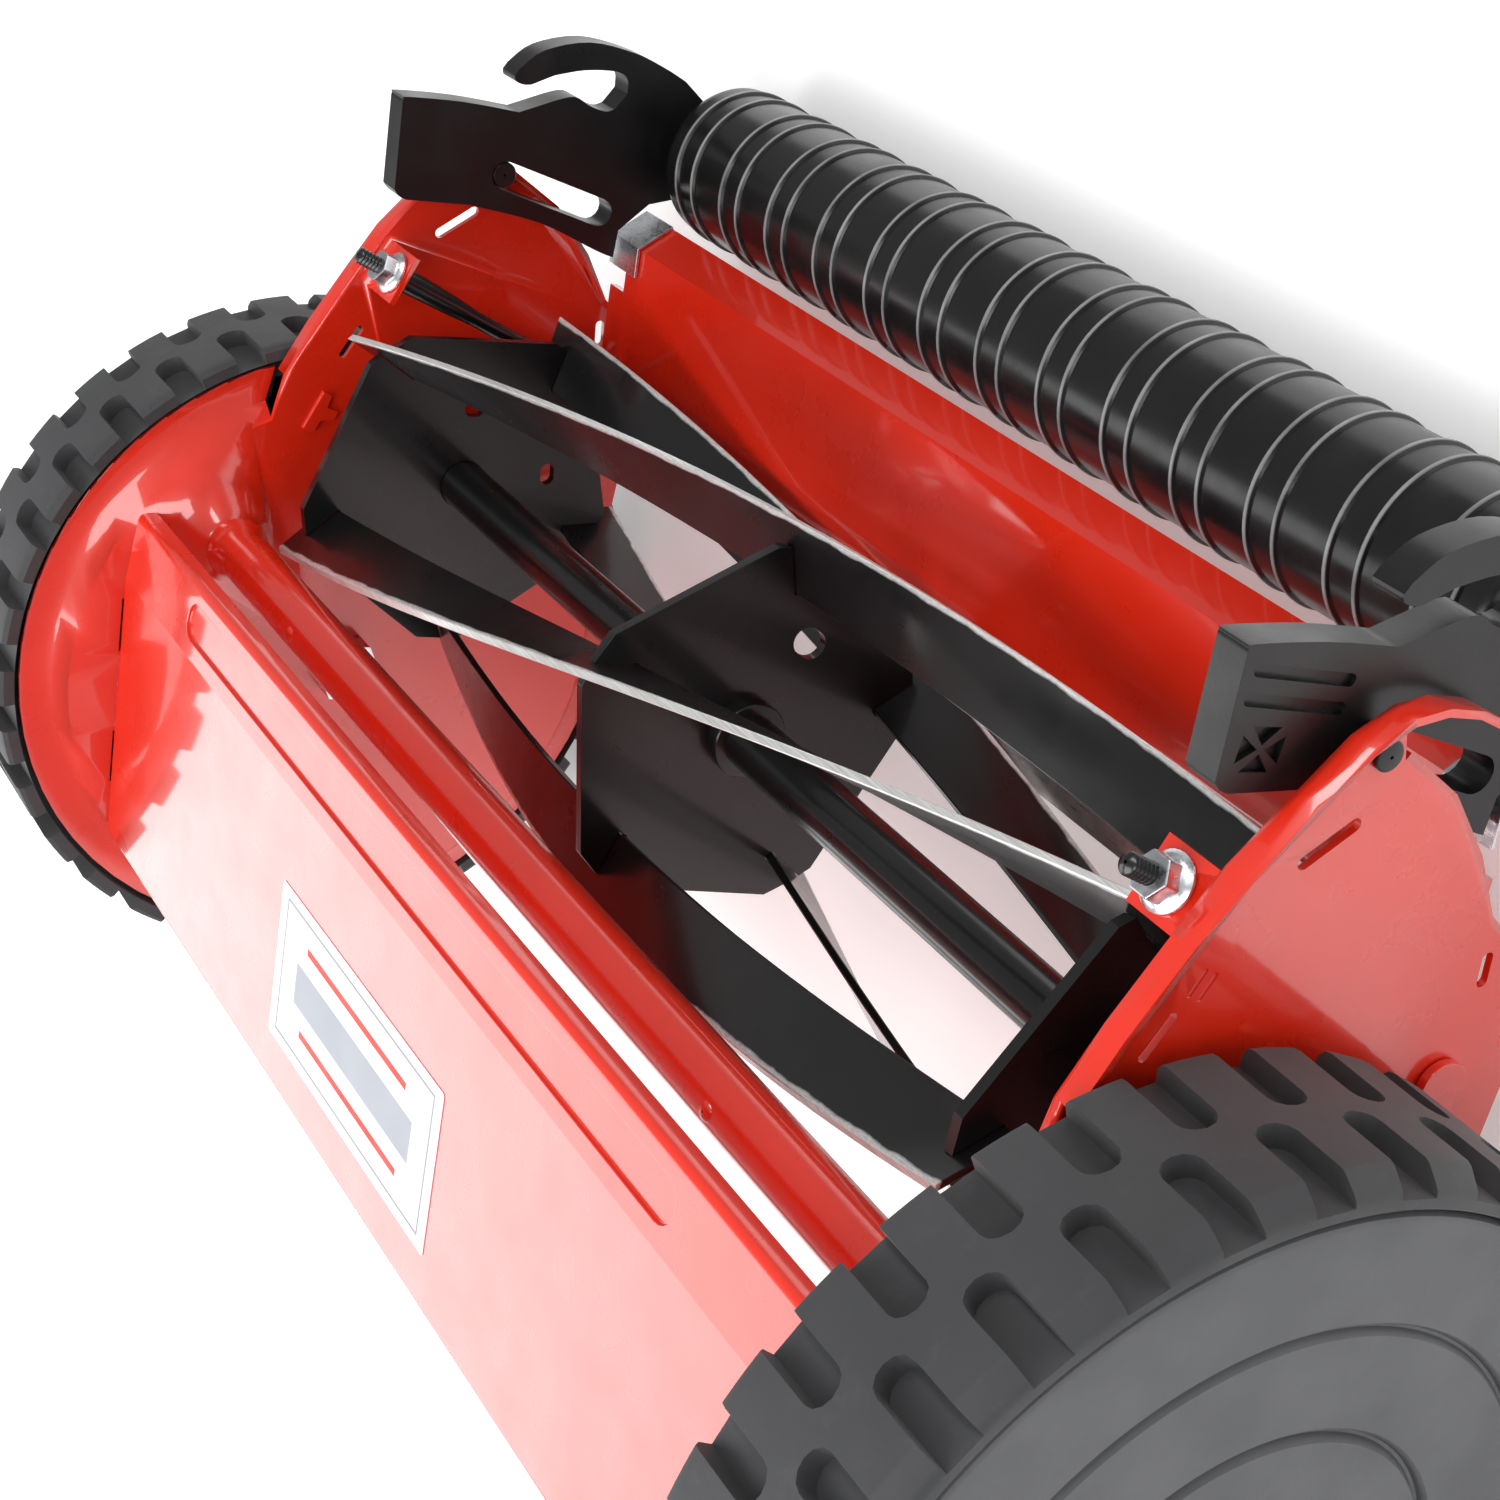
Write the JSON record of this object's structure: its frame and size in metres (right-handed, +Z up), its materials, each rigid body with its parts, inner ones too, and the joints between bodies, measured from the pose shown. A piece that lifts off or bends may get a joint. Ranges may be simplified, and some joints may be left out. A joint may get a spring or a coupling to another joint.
{
  "type": "reel mower",
  "caption": "Push reel mower without its handle: red pressed chassis, twisted-blade reel geared to ribbed wheels, adjustable bedknife and a rear roller set for height.",
  "frame": {"origin": "on the floor below the middle of the mower's bounding box", "axes": "+X across the mower to its right-hand side as seen from the front cover's rear, +Y to the rear roller, +Z up; it moves forward along -Y"},
  "size_m": [0.5252, 0.3258, 0.222],
  "materials": {
    "red_paint": "glossy red powder coat",
    "black_paint": "glossy black enamel on sheet steel, ground bright on the cutting edges",
    "tyre_rubber": "satin charcoal rubber with a moulded block tread",
    "wheel_plastic": "fine-grained charcoal moulded plastic with shallow turned grooves",
    "roller_plastic": "satin black plastic with raised ribs",
    "bracket_plastic": "satin black moulded nylon",
    "zinc_plate": "bright zinc plate",
    "bare_steel": "ground steel, lightly oiled"
  },
  "bodies": {
    "chassis": {"right_side_plate": "red_paint", "left_side_plate": "red_paint", "front_cover": "red_paint", "tie_tube": "red_paint", "right_tie_bolt": "zinc_plate", "left_tie_bolt": "zinc_plate", "right_axle_stud": "zinc_plate", "left_axle_stud": "zinc_plate", "right_axle_nut": "zinc_plate", "left_axle_nut": "zinc_plate", "right_bearing": "bracket_plastic", "left_bearing": "bracket_plastic", "right_bar_pivot": "zinc_plate", "left_bar_pivot": "zinc_plate", "right_height_stud": "bracket_plastic", "left_height_stud": "bracket_plastic"},
    "knife_carrier": {"bedknife_bar": "red_paint", "bedknife": "bare_steel", "right_bar_clip": "zinc_plate", "left_bar_clip": "zinc_plate"},
    "right_adjuster": {"right_adjuster_rod": "black_paint"},
    "left_adjuster": {"left_adjuster_rod": "black_paint"},
    "right_nut": {"right_adjuster_nut": "zinc_plate"},
    "left_nut": {"left_adjuster_nut": "zinc_plate"},
    "reel": {"reel_shaft": "black_paint", "blade_1": "black_paint", "blade_2": "black_paint", "blade_3": "black_paint", "blade_4": "black_paint", "blade_5": "black_paint", "middle_spider": "black_paint", "right_spider": "black_paint", "left_spider": "black_paint", "right_pinion": "bare_steel", "left_pinion": "bare_steel"},
    "right_drive_pawl": {"right_pawl": "bare_steel"},
    "left_drive_pawl": {"left_pawl": "bare_steel"},
    "right_wheel": {"right_wheel_hub": "wheel_plastic", "right_wheel_cap": "wheel_plastic", "right_tyre": "tyre_rubber"},
    "left_wheel": {"left_wheel_hub": "wheel_plastic", "left_wheel_cap": "wheel_plastic", "left_tyre": "tyre_rubber"},
    "roller_carriage": {"right_roller_bracket": "bracket_plastic", "left_roller_bracket": "bracket_plastic", "roller_axle": "bare_steel"},
    "roller": {"roller": "roller_plastic"}
  },
  "joints": [
    {"name": "carrier_tilt", "type": "hinge", "parent": "chassis", "child": "knife_carrier", "pos_m": [0, 0.04105, 0.044], "axis": [1, 0, 0], "range_deg": [-0.8, 1.5]},
    {"name": "right_rod_slide", "type": "slide", "parent": "chassis", "child": "right_adjuster", "axis": [0, 0.3498, 0.9368], "range_m": [-0.0004, 0.0006]},
    {"name": "right_nut_turn", "type": "hinge", "parent": "chassis", "child": "right_nut", "pos_m": [0.1958, 0.08585, 0.1298], "axis": [0, 0.3498, 0.9368], "range_deg": [-120, 70]},
    {"name": "left_rod_slide", "type": "slide", "parent": "chassis", "child": "left_adjuster", "axis": [0, 0.3498, 0.9368], "range_m": [-0.0004, 0.0006]},
    {"name": "left_nut_turn", "type": "hinge", "parent": "chassis", "child": "left_nut", "pos_m": [-0.1958, 0.08585, 0.1298], "axis": [0, 0.3498, 0.9368], "range_deg": [-120, 70]},
    {"name": "reel_spin", "type": "hinge", "parent": "chassis", "child": "reel", "pos_m": [0, 0.02265, 0.09405], "axis": [1, 0, 0], "continuous": true},
    {"name": "right_pawl_slide", "type": "slide", "parent": "reel", "child": "right_drive_pawl", "axis": [0, 0, 1], "range_m": [-0.0006, 0.0006]},
    {"name": "left_pawl_slide", "type": "slide", "parent": "reel", "child": "left_drive_pawl", "axis": [0, 0, 1], "range_m": [-0.0006, 0.0006]},
    {"name": "right_wheel_spin", "type": "hinge", "parent": "chassis", "child": "right_wheel", "pos_m": [0, -0.05195, 0.111], "axis": [1, 0, 0], "continuous": true},
    {"name": "left_wheel_spin", "type": "hinge", "parent": "chassis", "child": "left_wheel", "pos_m": [0, -0.05195, 0.111], "axis": [1, 0, 0], "continuous": true},
    {"name": "height_slide", "type": "slide", "parent": "chassis", "child": "roller_carriage", "axis": [0, 0.2084, 0.978], "range_m": [0, 0.024]},
    {"name": "roller_spin", "type": "hinge", "parent": "roller_carriage", "child": "roller", "pos_m": [0, 0.13575, 0.0248], "axis": [1, 0, 0], "continuous": true}
  ],
  "couplings": [
    {"joint": "right_rod_slide", "follows": "carrier_tilt", "m_per_rad": 0.011953},
    {"joint": "right_nut_turn", "follows": "carrier_tilt", "ratio": -60.083},
    {"joint": "right_wheel_spin", "follows": "reel_spin", "ratio": 0.19048},
    {"joint": "left_rod_slide", "follows": "carrier_tilt", "m_per_rad": 0.011953},
    {"joint": "left_nut_turn", "follows": "carrier_tilt", "ratio": -60.083},
    {"joint": "left_wheel_spin", "follows": "reel_spin", "ratio": 0.19048}
  ]
}
